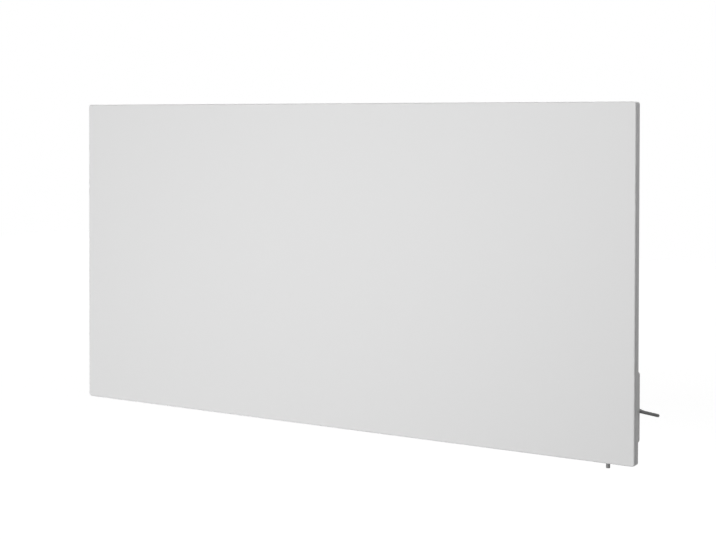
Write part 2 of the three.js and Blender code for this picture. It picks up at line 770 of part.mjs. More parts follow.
const spacerX = RIGHT - SPACER_FROM_EDGE;
const spacerZ = BOTTOM + SPACER_ABOVE_BOTTOM;
const spacerStart = BACK + SEAT_GAP;
const spacerLength = -PAD_THICKNESS - SEAT_GAP - spacerStart;
for (const [side, x] of [["left", -spacerX], ["right", spacerX]]) {
  const base = SPACER_BASE_DIAMETER / 2;
  const radius = SPACER_DIAMETER / 2;
  const profile = [
    [0, 0],
    [base, 0],
    [base, SPACER_BASE_HEIGHT - 1.5],
    [base - 1.5, SPACER_BASE_HEIGHT],
    [radius + 3, SPACER_BASE_HEIGHT],
    [radius, SPACER_BASE_HEIGHT + 6],
    [radius, spacerLength - 3],
    [PAD_DIAMETER / 2 - 2, spacerLength],
    [0, spacerLength],
  ];
  add(`wall_spacer_${side}`, turned(profile, [x, spacerStart, spacerZ], TOWARDS_WALL), blackPlastic);
  const padProfile = [
    [0, 0],
    [PAD_DIAMETER / 2 - 1, 0],
    [PAD_DIAMETER / 2, 1],
    [PAD_DIAMETER / 2, PAD_THICKNESS - 1],
    [PAD_DIAMETER / 2 - 1, PAD_THICKNESS],
    [0, PAD_THICKNESS],
  ];
  add(`spacer_pad_${side}`, turned(padProfile, [x, -PAD_THICKNESS, spacerZ], TOWARDS_WALL), blackRubber);
}

// ---- Mains lead ----

// Strain relief: a tapered sleeve with a groove that the box's wall sits in.
const glandWall = BOX_WALL + 2 * SEAT_GAP;
const glandShoulder = 2 * GLAND_FLANGE + glandWall; // where the taper starts
const glandEnd = glandShoulder + GLAND_LENGTH;
const glandRadius = (height) =>
  THREE.MathUtils.mapLinear(
    height,
    glandShoulder,
    glandEnd,
    GLAND_ROOT_DIAMETER / 2,
    GLAND_TIP_DIAMETER / 2,
  );
const glandRibs = Array.from({ length: GLAND_RIBS }, (_, rib) => {
  const pitch = GLAND_LENGTH / (GLAND_RIBS + 0.5);
  const start = glandShoulder + rib * pitch;
  const dip = start + 0.55 * pitch;
  const end = start + pitch;
  return [
    [glandRadius(start), start],
    [glandRadius(dip), dip],
    [glandRadius(dip) - GLAND_RIB_DEPTH, dip],
    [glandRadius(end) - GLAND_RIB_DEPTH, end],
  ];
}).flat();
const glandProfile = [
  [0, 0],
  [GLAND_FLANGE_DIAMETER / 2, 0],
  [GLAND_FLANGE_DIAMETER / 2, GLAND_FLANGE],
  [glandNeck, GLAND_FLANGE],
  [glandNeck, GLAND_FLANGE + glandWall],
  [GLAND_FLANGE_DIAMETER / 2, GLAND_FLANGE + glandWall],
  [GLAND_FLANGE_DIAMETER / 2, glandShoulder - 0.3],
  ...glandRibs,
  [GLAND_TIP_DIAMETER / 2 + 0.1, glandEnd - GLAND_LENGTH / (2 * GLAND_RIBS + 1)],
  [GLAND_TIP_DIAMETER / 2, glandEnd],
  [0, glandEnd],
];
const glandStart = boxLeft + BOX_WALL + SEAT_GAP + GLAND_FLANGE;
add(
  "strain_relief",
  turned(glandProfile, [glandStart, glandY, glandZ], LEFTWARD, 20),
  darkRubber,
);
const glandTip = glandStart - glandEnd;

// The lead's end inside the box, and the clamp over it.
const innerStart = glandStart + SEAT_GAP;
add(
  "cord_inner_end",
  cylinder(CORD_DIAMETER / 2, INNER_END_LENGTH, [innerStart, glandY, glandZ], ALONG, 12),
  darkRubber,
);
const clampX = innerStart + CLAMP_FROM_GLAND;
const clampBore = CORD_DIAMETER / 2 + SEAT_GAP;
const clampBridge = clampBore + CLAMP_WALL; // half the width of the bridge over the lead
const clampBox = { x0: clampX, x1: clampX + CLAMP_WIDTH, z0: glandZ - CLAMP_HALF, z1: glandZ + CLAMP_HALF };
const clamp = blockIn(clampBox, coverFront, glandY)
  .add(
    blockIn(
      { ...clampBox, z0: glandZ - clampBridge, z1: glandZ + clampBridge },
      coverFront,
      glandY + clampBridge,
    ),
  )
  .subtract(solid(cylinder(clampBore, CLAMP_WIDTH + 2, [clampX - 1, glandY, glandZ], ALONG, 16)));
add("cord_clamp", clamp, blackPlastic);

// The lead turns back behind the box, comes out past the panel's right edge,
// turns again and rises to the coil, which hangs on the right wall spacer.
const cordStart = [glandTip - SEAT_GAP, glandY, glandZ];
const coilX = spacerX;
const coilTopGap = COIL_RADIUS - ((COIL_TURNS / 4) * COIL_PITCH) - CORD_DIAMETER / 2;
const coilZ = spacerZ + SPACER_DIAMETER / 2 + SEAT_GAP - coilTopGap;
const coilY = -24.5; // midway between its two layers
const coilOuter = COIL_RADIUS + (COIL_TURNS / 4) * COIL_PITCH;
const coilEnd = CORD_DIAMETER; // each end of the coil runs straight this far
const cordRoute = [
  cordStart,
  [cordStart[0] - 6, glandY, glandZ],
  [441.4, -61.5, -362],
  [433, -60.1, -367.6],
  [427.4, -58.1, -376.1],
  [425.4, -55.9, -386],
  [427.4, -53.8, -395.9],
  [433, -51.9, -404.4],
  [441.4, -50.6, -410],
  [451.4, -50.2, -412],
  [474, -50.2, -412.1],
  [500, -50.2, -412.2],
  [530, -50.2, -412.4],
  [560, -50.2, -412.7],
  [580.7, -50.2, -413.2],
  [592.3, -50.2, -414.2],
  [598.2, -49.4, -415.1],
  [603.6, -47.2, -416.3],
  [608.3, -43.6, -417.7],
  [611.9, -38.9, -419.3],
  [614.1, -33.4, -420.9],
  [614.9, -27.6, -422.5],
  [614.1, -21.8, -423.8],
  [611.9, -16.3, -424.9],
  [608.3, -11.6, -425.6],
  [603.6, -8, -425.9],
  [598.2, -5.8, -425.9],
  [592.3, -5, -425.3],
  [579.7, -5.1, -423.2],
  [567.6, -6.1, -418.4],
  [557.8, -8, -411.2],
  [550.4, -10.6, -401.4],
  [546, -13.6, -389.6],
  [544.1, -17, -374],
  [543.6, -19.8, -356],
  [coilX + coilOuter, coilY + COIL_PITCH / 2, coilZ - coilEnd - 14],
  [coilX + coilOuter, coilY + COIL_PITCH / 2, coilZ - coilEnd - SEAT_GAP],
];
add("cord_lead", tubeThrough(cordRoute, CORD_DIAMETER, 12, 1), darkRubber);

// The coil: it winds in on the layer nearer the wall, steps across while its spiral turns back,
// and winds out on the other layer.
class Coil extends THREE.Curve {
  getPoint(share, point = new THREE.Vector3()) {
    const loops = COIL_TURNS * 2 * Math.PI * COIL_RADIUS;
    const along = share * (loops + 2 * coilEnd) - coilEnd;
    const turn = THREE.MathUtils.clamp(along / loops, 0, 1) * COIL_TURNS;
    const fromMiddle = turn - COIL_TURNS / 2;
    const radius = coilOuter - (COIL_TURNS / 2 - Math.abs(fromMiddle)) * COIL_PITCH;
    const across = THREE.MathUtils.smoothstep(fromMiddle, -0.25, 0.25);
    const angle = turn * 2 * Math.PI;
    const past = Math.max(-along, along - loops, 0);
    return point.set(
      coilX + radius * Math.cos(angle),
      coilY + COIL_PITCH * (0.5 - across),
      coilZ + radius * Math.sin(angle) - past,
    );
  }
}
const coilSteps = Math.round(COIL_TURNS * 24) + 2;
const coil = new Coil();
add("cord_coil", tube(coil, CORD_DIAMETER, 6, coilSteps), darkRubber);

// Its least gap to itself, between points more than half a turn apart.
const coilPoints = coil.getSpacedPoints(4 * coilSteps);
const halfTurn = Math.round((4 * coilSteps) / COIL_TURNS / 2);
let leastGap = Infinity;
for (let i = 0; i < coilPoints.length; i++)
  for (let j = i + halfTurn; j < coilPoints.length; j++)
    leastGap = Math.min(leastGap, coilPoints[i].distanceTo(coilPoints[j]) - CORD_DIAMETER);
console.log(`least gap between turns of cord_coil: ${leastGap.toFixed(2)} mm`);

// The tie goes round the turns at the bottom of the coil.
const tieHalfY = COIL_PITCH / 2 + CORD_DIAMETER / 2 + TIE_CLEARANCE;
const tieIn = coilZ - (coilOuter + CORD_DIAMETER / 2 + TIE_CLEARANCE + COIL_PITCH / 4);
const tieOut = coilZ - (2 * COIL_RADIUS - coilOuter - CORD_DIAMETER / 2 - TIE_CLEARANCE - COIL_PITCH / 4);
const tieBlock = (grow, reach) =>
  block(
    coilX - reach,
    coilX + reach,
    coilY - tieHalfY - grow,
    coilY + tieHalfY + grow,
    tieIn - grow,
    tieOut + grow,
  );
add("cord_tie", tieBlock(TIE_THICKNESS, TIE_WIDTH / 2).subtract(tieBlock(0, TIE_WIDTH)), blackPlastic);

// The tail hangs from the coil's left side to the plug.
const plugX = coilX - coilOuter;
const plugY = coilY + 0.5;
const tailTop = coilZ - coilEnd - SEAT_GAP;
const bootTop = tailTop - TAIL_LENGTH;
const tailRoute = [
  [plugX, coilY - COIL_PITCH / 2, tailTop],
  [plugX, coilY - COIL_PITCH / 2, tailTop - 6],
  [plugX, coilY - COIL_PITCH / 4, tailTop - 15],
  [plugX, plugY - 0.5, tailTop - 23],
  [plugX, plugY, bootTop + 6],
  [plugX, plugY, bootTop + SEAT_GAP],
];
add("cord_tail", tubeThrough(tailRoute, CORD_DIAMETER, 12, 1), darkRubber);

const bootProfile = [
  [0, 0],
  [3.8, 0],
  [5.4, PLUG_BOOT_LENGTH - 2],
  [5.4, PLUG_BOOT_LENGTH],
  [0, PLUG_BOOT_LENGTH],
];
add("plug_boot", turned(bootProfile, [plugX, plugY, bootTop], DOWN, 20), darkRubber);

const plugTop = bootTop - PLUG_BOOT_LENGTH - SEAT_GAP;
const plugFace = plugTop - PLUG_LENGTH;
const plugRadius = PLUG_DIAMETER / 2;
const plugProfile = [
  [0, 0],
  [7, 0],
  [8.5, 3],
  [10, 10],
  [13.5, 17],
  [plugRadius, 22],
  [plugRadius, PLUG_LENGTH - 1],
  [plugRadius - 1, PLUG_LENGTH],
  [0, PLUG_LENGTH],
];
const pinPlaces = [plugX - PIN_SPACING / 2, plugX + PIN_SPACING / 2];
let plug = solid(turned(plugProfile, [plugX, plugY, plugTop], DOWN, 32));
for (const x of pinPlaces)
  plug = plug.subtract(
    solid(cylinder(PIN_DIAMETER / 2 + SEAT_GAP, PIN_ROOT + 1, [x, plugY, plugFace - 1], UP, 16)),
  );
for (const side of [-1, 1]) {
  const edge = plugY + side * plugRadius;
  plug = plug.subtract(
    block(plugX - 3, plugX + 3, Math.min(edge, edge - side * 2), Math.max(edge, edge - side * 2),
      plugFace - 1, plugFace + 14),
  );
}
add("plug_body", plug, darkRubber);
pinPlaces.forEach((x, i) => {
  const radius = PIN_DIAMETER / 2;
  const length = PIN_ROOT - SEAT_GAP + PIN_LENGTH;
  const profile = [
    [0, 0],
    [radius, 0],
    [radius, length - 1.6],
    [radius - 0.8, length - 0.4],
    [0, length],
  ];
  add(`plug_pin_${i + 1}`, turned(profile, [x, plugY, plugFace + PIN_ROOT - SEAT_GAP], DOWN, 16), steel);
});

export default group;
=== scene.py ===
import math

import bmesh
import bpy
from mathutils import Matrix, Vector


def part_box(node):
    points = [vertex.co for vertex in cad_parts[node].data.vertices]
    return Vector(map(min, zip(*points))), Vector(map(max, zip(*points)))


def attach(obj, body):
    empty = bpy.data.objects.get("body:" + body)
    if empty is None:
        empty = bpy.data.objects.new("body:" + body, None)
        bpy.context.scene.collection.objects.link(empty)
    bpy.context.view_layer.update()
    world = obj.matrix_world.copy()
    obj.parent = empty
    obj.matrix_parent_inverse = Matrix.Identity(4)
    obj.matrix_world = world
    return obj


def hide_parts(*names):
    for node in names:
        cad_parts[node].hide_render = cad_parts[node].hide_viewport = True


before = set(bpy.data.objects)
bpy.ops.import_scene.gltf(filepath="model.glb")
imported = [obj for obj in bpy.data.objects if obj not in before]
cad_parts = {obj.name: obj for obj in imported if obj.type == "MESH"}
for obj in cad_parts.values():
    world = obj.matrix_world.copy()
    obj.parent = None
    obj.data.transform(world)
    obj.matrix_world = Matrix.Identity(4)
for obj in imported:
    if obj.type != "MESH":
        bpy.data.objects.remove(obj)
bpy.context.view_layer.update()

# ---- Camera ----
# The heater is seen from its right and from a little above its middle, 2.9 m away, through a
# long lens. The picture is framed below the lens's axis, which keeps the upright edges upright.
camera_data = bpy.data.cameras.new("camera")
camera_data.sensor_width = 36
camera_data.lens = 77.1
camera_data.shift_y = -0.1661
camera = bpy.data.objects.new("camera", camera_data)
bpy.context.scene.collection.objects.link(camera)
camera.matrix_world = (
    Matrix.Translation((1.57866, -2.43731, 0.06408))
    @ Matrix.Rotation(math.radians(32.885), 4, "Z")
    @ Matrix.Rotation(math.radians(90 - 1.0546), 4, "X")
    @ Matrix.Rotation(math.radians(0.1063), 4, "Z")
)
bpy.context.scene.camera = camera
bpy.context.scene.view_settings.view_transform = "Standard"

# ---- Mains lead ----
# A round three-core lead in an extruded grey PVC sheath. It leaves the box through its strain relief,
# turns back behind the box, shows its turn past the panel's right edge, and is wound into
# a coil that hangs on the right wall spacer, with its plug hanging from the end.


def srgb(code):
    """A hex colour as linear red, green, blue and alpha."""
    parts = [int(code[i : i + 2], 16) / 255 for i in (1, 3, 5)]
    return [p / 12.92 if p <= 0.04045 else ((p + 0.055) / 1.055) ** 2.4 for p in parts] + [1.0]


def new_material(name, sockets):
    """A material and its shader, with these of the shader's sockets set."""
    material = bpy.data.materials.new(name)
    material.use_nodes = True
    shader = material.node_tree.nodes["Principled BSDF"]
    for socket, value in sockets.items():
        shader.inputs[socket].default_value = value
    return material, shader


def add(material, kind, inputs=None, **settings):
    """Adds one node with its settings. An input that is a socket is linked, and any other is a value."""
    made = material.node_tree.nodes.new("ShaderNode" + kind)
    for name, value in settings.items():
        setattr(made, name, value)
    for name, value in (inputs or {}).items():
        if isinstance(value, bpy.types.NodeSocket):
            material.node_tree.links.new(value, made.inputs[name])
        else:
            made.inputs[name].default_value = value
    return made


def join(material, output, socket):
    """Links an output to a socket."""
    material.node_tree.links.new(output, socket)


def object_place(material, stretch=(1, 1, 1)):
    """The point of the surface, in metres, stretched along each axis."""
    place = add(material, "TexCoord").outputs["Object"]
    return add(material, "Mapping", {"Vector": place, "Scale": stretch}).outputs["Vector"]


def per_metre(millimetres):
    """The scale of a pattern whose features are this size."""
    return 1000 / millimetres


def drifting_tone(material, shader, factor, dark, light):
    """Lets the colour drift between two close tones."""
    tone = add(material, "Mix", {"Factor": factor, 6: srgb(dark), 7: srgb(light)}, data_type="RGBA")
    join(material, tone.outputs[2], shader.inputs["Base Color"])


def drifting_gloss(material, shader, factor, low, high):
    """Lets the roughness drift between two values."""
    gloss = add(material, "MapRange", {"Value": factor, "To Min": low, "To Max": high})
    join(material, gloss.outputs["Result"], shader.inputs["Roughness"])


def relief(material, shader, height, strength, depth_mm):
    """Bumps from a pattern, this deep at full strength."""
    sockets = {"Height": height, "Strength": strength, "Distance": depth_mm / 1000}
    bump = add(material, "Bump", sockets)
    join(material, bump.outputs["Normal"], shader.inputs["Normal"])


def extruded_pvc():
    # Extruded PVC: matt from its fillers, a little uneven where it has been handled, with a fine grain.
    material, shader = new_material("extruded_grey_pvc", {"IOR": 1.53, "Specular IOR Level": 0.15})
    place = object_place(material)
    smudge = add(material, "TexNoise", {"Vector": place, "Scale": per_metre(18), "Detail": 3})
    drifting_tone(material, shader, smudge.outputs["Fac"], "#7b7b7b", "#868686")
    drifting_gloss(material, shader, smudge.outputs["Fac"], 0.42, 0.58)
    grain = add(material, "TexNoise", {"Vector": place, "Scale": per_metre(0.7), "Detail": 2})
    relief(material, shader, grain.outputs["Fac"], 0.15, 0.1)
    return material


cord_diameter = 0.0056
cord_route = [
    # Out of the strain relief to the left, then a half turn down and back.
    (0.4574, -0.062, -0.36),
    (0.4514, -0.062, -0.36),
    (0.4414, -0.0615, -0.362),
    (0.433, -0.0601, -0.3676),
    (0.4274, -0.0581, -0.3761),
    (0.4254, -0.0559, -0.386),
    (0.4274, -0.0538, -0.3959),
    (0.433, -0.0519, -0.4044),
    (0.4414, -0.0506, -0.41),
    (0.4514, -0.0502, -0.412),
    # To the right, just behind the box.
    (0.474, -0.0502, -0.4121),
    (0.5, -0.0502, -0.4122),
    (0.53, -0.0502, -0.4124),
    (0.56, -0.0502, -0.4127),
    (0.5807, -0.0502, -0.4132),
    (0.5923, -0.0502, -0.4142),
    # The turn past the panel's right edge.
    (0.5982, -0.0494, -0.4151),
    (0.6036, -0.0472, -0.4163),
    (0.6083, -0.0436, -0.4177),
    (0.6119, -0.0389, -0.4193),
    (0.6141, -0.0334, -0.4209),
    (0.6149, -0.0276, -0.4225),
    (0.6141, -0.0218, -0.4238),
    (0.6119, -0.0163, -0.4249),
    (0.6083, -0.0116, -0.4256),
    (0.6036, -0.008, -0.4259),
    (0.5982, -0.0058, -0.4259),
    # Back to the left beside the wall, and up to the coil.
    (0.5923, -0.005, -0.4253),
    (0.5797, -0.0051, -0.4232),
    (0.5676, -0.0061, -0.4184),
    (0.5578, -0.008, -0.4112),
    (0.5504, -0.0106, -0.4014),
    (0.546, -0.0136, -0.3896),
    (0.5441, -0.017, -0.374),
    (0.5436, -0.0198, -0.356),
]
coil_radius = 0.0336
coil_turns = 6.5
coil_pitch = 0.0061
coil_outer = coil_radius + coil_turns / 4 * coil_pitch
coil_centre = Vector((0.5, -0.0245, -0.3136))
steps_per_turn = 24
# The turns wind inwards to the middle of the coil, cross over to its second layer and wind out again.
coil_route = [(coil_centre.x + coil_outer, coil_centre.y + coil_pitch / 2, coil_centre.z - cord_diameter)]
for step in range(int(coil_turns * steps_per_turn) + 1):
    turn = step / steps_per_turn
    from_middle = turn - coil_turns / 2
    radius = coil_outer - (coil_turns / 2 - abs(from_middle)) * coil_pitch
    climb = min(max(2 * from_middle + 0.5, 0), 1)
    across = climb * climb * (3 - 2 * climb)
    angle = 2 * math.pi * turn
    coil_route.append(
        (
            coil_centre.x + radius * math.cos(angle),
            coil_centre.y + coil_pitch * (0.5 - across),
            coil_centre.z + radius * math.sin(angle),
        )
    )
plug_x = coil_centre.x - coil_outer
plug_y = coil_centre.y + 0.0005
tail_route = [
    (plug_x, coil_centre.y - coil_pitch / 2, -0.3195),
    (plug_x, coil_centre.y - coil_pitch / 2, -0.3255),
    (plug_x, coil_centre.y - coil_pitch / 4, -0.3345),
    (plug_x, plug_y - 0.0005, -0.3425),
    (plug_x, plug_y, -0.3475),
    (plug_x, plug_y, -0.3532),
]
cord_curve = bpy.data.curves.new("mains_lead", "CURVE")
cord_curve.dimensions = "3D"
cord_curve.bevel_depth = cord_diameter / 2
cord_curve.bevel_resolution = 5
cord_curve.resolution_u = 4
cord_curve.use_fill_caps = True
cord_points = cord_route + coil_route + tail_route
cord_line = cord_curve.splines.new("BEZIER")
cord_line.bezier_points.add(len(cord_points) - 1)
for point, place in zip(cord_line.bezier_points, cord_points):
    point.co = place
    point.handle_left_type = "AUTO"
    point.handle_right_type = "AUTO"
cord_curve.materials.append(extruded_pvc())
mains_lead = bpy.data.objects.new("mains_lead", cord_curve)
bpy.context.scene.collection.objects.link(mains_lead)
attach(mains_lead, "panel")
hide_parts("cord_lead", "cord_coil", "cord_tail")

# ---- Plug, its boot and the tie round the coil ----
# A round earthed plug of soft PVC moulded round the lead, 36 mm across, with a ribbed boot and two
# nickel-plated pins. A nylon cable tie holds the coil's turns together.


def rounded(corners, steps=5):
    """The line through these corners. A third number rounds a corner to that radius."""
    line = []
    for number, corner in enumerate(corners):
        here = Vector(corner[:2])
        if len(corner) < 3:
            line.append(here)
            continue
        before = (Vector(corners[number - 1][:2]) - here).normalized()
        after = (Vector(corners[(number + 1) % len(corners)][:2]) - here).normalized()
        half = before.angle(after) / 2
        hub = here + (before + after).normalized() * corner[2] / math.sin(half)
        first = here + before * corner[2] / math.tan(half) - hub
        last = here + after * corner[2] / math.tan(half) - hub
        for step in range(steps + 1):
            share = step / steps
            spoke = (first * (1 - share) + last * share).normalized() * corner[2]
            line.append(hub + spoke)
    return line


crease_angle = math.radians(38)
merge_distance = 1e-6
on_the_axis = 1e-7


def smoothed(mesh):
    """Makes a mesh smooth but for its sharp edges."""
    mesh.shade_smooth()
    mesh.set_sharp_from_angle(angle=crease_angle)
    return mesh


def mesh_of(points, faces):
    """A smoothed mesh with its doubled points merged and its faces turned outwards."""
    mesh = bpy.data.meshes.new("shape")
    mesh.from_pydata([tuple(point) for point in points], [], faces)
    shaped = bmesh.new()
    shaped.from_mesh(mesh)
    bmesh.ops.remove_doubles(shaped, verts=shaped.verts, dist=merge_distance)
    bmesh.ops.recalc_face_normals(shaped, faces=shaped.faces)
    shaped.to_mesh(mesh)
    shaped.free()
    return smoothed(mesh)


def turned(profile, start, direction, steps=64):
    """The profile's (radius, height) points in metres, turned round an axis from start. A profile that
    starts off the axis is closed into a ring."""
    spin = Vector((0, 0, 1)).rotation_difference(Vector(direction))
    points, rings, faces = [], [], []
    for radius, height in profile:
        count = 1 if radius < on_the_axis else steps
        rings.append(range(len(points), len(points) + count))
        for step in range(count):
            angle = 2 * math.pi * step / steps
            points.append(Vector((radius * math.cos(angle), radius * math.sin(angle), height)))
    if len(rings[0]) > 1:
        rings.append(rings[0])
    for near, far in zip(rings, rings[1:]):
        for step in range(steps):
            after = step + 1
            corners = (
                near[step % len(near)],
                near[after % len(near)],
                far[after % len(far)],
                far[step % len(far)],
            )
            face = list(dict.fromkeys(corners))
            if len(face) > 2:
                faces.append(face)
    return mesh_of([Vector(start) + spin @ point for point in points], faces)


def joined(meshes):
    """One mesh of several."""
    shaped = bmesh.new()
    for mesh in meshes:
        shaped.from_mesh(mesh)
    whole = bpy.data.meshes.new("shape")
    shaped.to_mesh(whole)
    shaped.free()
    return whole


def piece(name, mesh, body, slot, material, *nodes):
    """Makes a mesh a piece of the heater, riding on a body and standing for these CAD nodes."""
    mesh.name = name
    mesh.materials.append(material)
    made = bpy.data.objects.new(name, mesh)
    bpy.context.scene.collection.objects.link(made)
    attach(made, body)
    if nodes:
        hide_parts(*nodes)
    return made


def turned_piece(name, corners, start, direction, body, slot, material, node, steps=64, round_steps=5):
    """Makes a piece of the rounded line through these corners, turned round an axis from start."""
    mesh = turned(rounded(corners, round_steps), start, direction, steps)
    return piece(name, mesh, body, slot, material, node)


def cut(made, cutter_mesh):
    """Cuts the cutter out of a piece."""
    cutter = bpy.data.objects.new("cutter", cutter_mesh)
    bpy.context.scene.collection.objects.link(cutter)
    modifier = made.modifiers.new("cut", "BOOLEAN")
    modifier.operation = "DIFFERENCE"
    modifier.solver = "EXACT"
    modifier.object = cutter
    bpy.context.view_layer.update()
    shown = made.evaluated_get(bpy.context.evaluated_depsgraph_get())
    left = bpy.data.meshes.new_from_object(shown)
    made.modifiers.clear()
    made.data = smoothed(left)
    bpy.data.objects.remove(cutter)


def cuboid(low, high, bevel=0):
    """A block between two corners, with its edges rounded."""
    shaped = bmesh.new()
    bmesh.ops.create_cube(shaped, size=1)
    size = Vector(high) - Vector(low)
    middle = (Vector(high) + Vector(low)) / 2
    for vertex in shaped.verts:
        vertex.co = middle + Vector(vertex.co[axis] * size[axis] for axis in range(3))
    if bevel:
        bmesh.ops.bevel(shaped, geom=shaped.edges, offset=bevel, segments=3, affect="EDGES", profile=0.5)
    mesh = bpy.data.meshes.new("shape")
    shaped.to_mesh(mesh)
    shaped.free()
    return smoothed(mesh)


def span(node, direction):
    """Where a turned CAD node starts along an axis, how long it is and its radius."""
    low, high = (Vector(corner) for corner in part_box(node))
    axis = max(range(3), key=lambda number: abs(direction[number]))
    size = high - low
    length = size[axis]
    across = max(size[number] for number in range(3) if number != axis)
    return (low + high) / 2 - Vector(direction) * length / 2, length, across / 2


def moulded(name, light, shade, roughness=0.5, grain_mm=0.9, drift_mm=60):
    # Moulded plastic: the spark-eroded mould leaves a fine even grain, which softens the gloss.
    material, shader = new_material(name, {"IOR": 1.54})
    place = object_place(material)
    drift = add(material, "TexNoise", {"Vector": place, "Scale": per_metre(drift_mm), "Detail": 2})
    drifting_tone(material, shader, drift.outputs["Fac"], shade, light)
    drifting_gloss(material, shader, drift.outputs["Fac"], roughness - 0.06, roughness + 0.06)
    grain = add(material, "TexNoise", {"Vector": place, "Scale": per_metre(grain_mm), "Detail": 2})
    relief(material, shader, grain.outputs["Fac"], 0.3, 0.1)
    return material


def plated_steel():
    # Nickel plate on steel: bright and a little warm, with the fine turning marks of the steel below it.
    material, shader = new_material("nickel_plated_steel", {"Metallic": 1.0})
    place = object_place(material)
    marks = add(material, "TexNoise", {"Vector": place, "Scale": per_metre(0.8), "Detail": 3})
    drifting_tone(material, shader, marks.outputs["Fac"], "#c2bfb8", "#d0cdc6")
    drifting_gloss(material, shader, marks.outputs["Fac"], 0.2, 0.36)
    return material


soft_pvc = moulded("moulded_grey_pvc", "#7c7c7c", "#747474", 0.6)
black_nylon = moulded("moulded_black_nylon", "#2c2d2e", "#242526", 0.45)
nickel = plated_steel()
down = (0, 0, -1)
cutter_reach = 0.001  # how far a cutter goes past the surface that it cuts


def ribbed(start, end, first_radius, last_radius, ribs, depth):
    """The corners of a taper with round ribs, from one height to another."""
    pitch = (end - start) / (ribs + 0.5)
    corners = []
    for rib in range(ribs):
        near = first_radius + (last_radius - first_radius) * rib / ribs
        low = start + rib * pitch
        corners += [
            (near, low, 0.0004),
            (near, low + 0.55 * pitch, 0.0004),
            (near - depth, low + 0.55 * pitch, 0.0003),
            (near - depth, low + pitch, 0.0003),
        ]
    return corners + [(last_radius, end - 0.5 * pitch, 0.0003), (last_radius, end, 0.0006)]


boot_start, boot_length, boot_radius = span("plug_boot", down)
boot_tip_radius, boot_ribs, boot_rib_depth = 0.0039, 6, 0.0006
boot_corners = [
    (0, 0),
    *ribbed(0, boot_length, boot_tip_radius, boot_radius, boot_ribs, boot_rib_depth),
    (0, boot_length),
]
plug_boot = turned_piece(
    "moulded_boot", boot_corners, boot_start, down, "panel", "grey_rubber", soft_pvc, "plug_boot"
)

body_start, body_length, body_radius = span("plug_body", down)
grip_taper = 0.2
first_groove = 0.005
body_corners = [
    (0, 0),
    (0.0072, 0, 0.001),
    (0.0086, 0.0035, 0.002),
]
for groove in (first_groove, 0.0075, 0.0100):
    swell = grip_taper * (groove - first_groove)
    body_corners += [
        (0.0088 + swell, groove, 0.0003),
        (0.0082 + swell, groove + 0.0003, 0.0002),
        (0.0083 + swell, groove + 0.0011, 0.0002),
        (0.0090 + swell, groove + 0.0014, 0.0003),
    ]
body_corners += [
    (0.0104, 0.0125, 0.002),
    (0.0138, 0.0172, 0.003),
    (body_radius, 0.0222, 0.0022),
    (body_radius, body_length, 0.0012),
    (0, body_length),
]
plug_body = turned_piece(
    "moulded_plug",
    body_corners,
    body_start,
    down,
    "panel",
    "grey_rubber",
    soft_pvc,
    "plug_body",
    steps=96,
)
slot_half, slot_depth, slot_height = 0.003, 0.002, 0.014
strip_half, strip_sheet, strip_room, strip_bevel = 0.0022, 0.0007, 0.0008, 0.0003
plug_face = body_start.z - body_length
earth_strips = []
for side in (-1, 1):
    rim_y = body_start.y + side * body_radius
    slot_floor = rim_y - side * slot_depth
    low_y, high_y = sorted((slot_floor, rim_y + side * cutter_reach))
    cut(
        plug_body,
        cuboid(
            (body_start.x - slot_half, low_y, plug_face - cutter_reach),
            (body_start.x + slot_half, high_y, plug_face + slot_height),
        ),
    )
    low_y, high_y = sorted((slot_floor, rim_y - side * (slot_depth - strip_sheet)))
    earth_strips.append(
        cuboid(
            (body_start.x - strip_half, low_y, plug_face + strip_room),
            (body_start.x + strip_half, high_y, plug_face + slot_height - strip_room),
            strip_bevel,
        )
    )
earth_contacts = piece("earth_contacts", joined(earth_strips), "panel", "steel", nickel)

pin_nose = 0.0012
for number in (1, 2):
    pin_start, pin_length, pin_radius = span(f"plug_pin_{number}", down)
    pin_corners = [
        (0, 0),
        (pin_radius, 0, 0.0002),
        (pin_radius, pin_length - pin_nose, 0.0016),
        (pin_radius - pin_nose, pin_length, 0.0008),
        (0, pin_length),
    ]
    turned_piece(
            f"turned_pin_{number}",
            pin_corners,
            pin_start,
            down,
            "panel",
            "steel",
            nickel,
            f"plug_pin_{number}",
            steps=48,
        )


def corner_spokes(low, high, corner, steps=8):
    """A rounded rectangle's hubs, and the direction from them to each point of its rounded corners."""
    spokes = []
    for quarter, (sign_a, sign_b) in enumerate(((1, 1), (-1, 1), (-1, -1), (1, -1))):
        hub_a = high[0] - corner if sign_a > 0 else low[0] + corner
        hub_b = high[1] - corner if sign_b > 0 else low[1] + corner
        for step in range(steps + 1):
            angle = (quarter + step / steps) * math.pi / 2
            spokes.append((hub_a, hub_b, math.cos(angle), math.sin(angle)))
    return spokes


def faces_between(near, far, count):
    """The faces between two rings of this many points, which start at these numbers."""
    faces = []
    for step in range(count):
        after = (step + 1) % count
        faces.append((near + step, near + after, far + after, far + step))
    return faces


def band(low, high, corner, width, sheet, middle):
    """A strap bent round a rounded rectangle in Y and Z, with its edges along X rounded."""
    edge = 0.0004
    section_corners = [
        (0, -width / 2, edge),
        (0, width / 2, edge),
        (sheet, width / 2, edge),
        (sheet, -width / 2, edge),
    ]
    section = rounded(section_corners, 2)
    points, faces = [], []
    spokes = corner_spokes(low, high, corner)
    for hub_y, hub_z, along_y, along_z in spokes:
        for inward, across in section:
            reach = corner - inward
            points.append((middle + across, hub_y + reach * along_y, hub_z + reach * along_z))
    count = len(section)
    for number in range(len(spokes)):
        faces += faces_between(number * count, (number + 1) % len(spokes) * count, count)
    return mesh_of(points, faces)


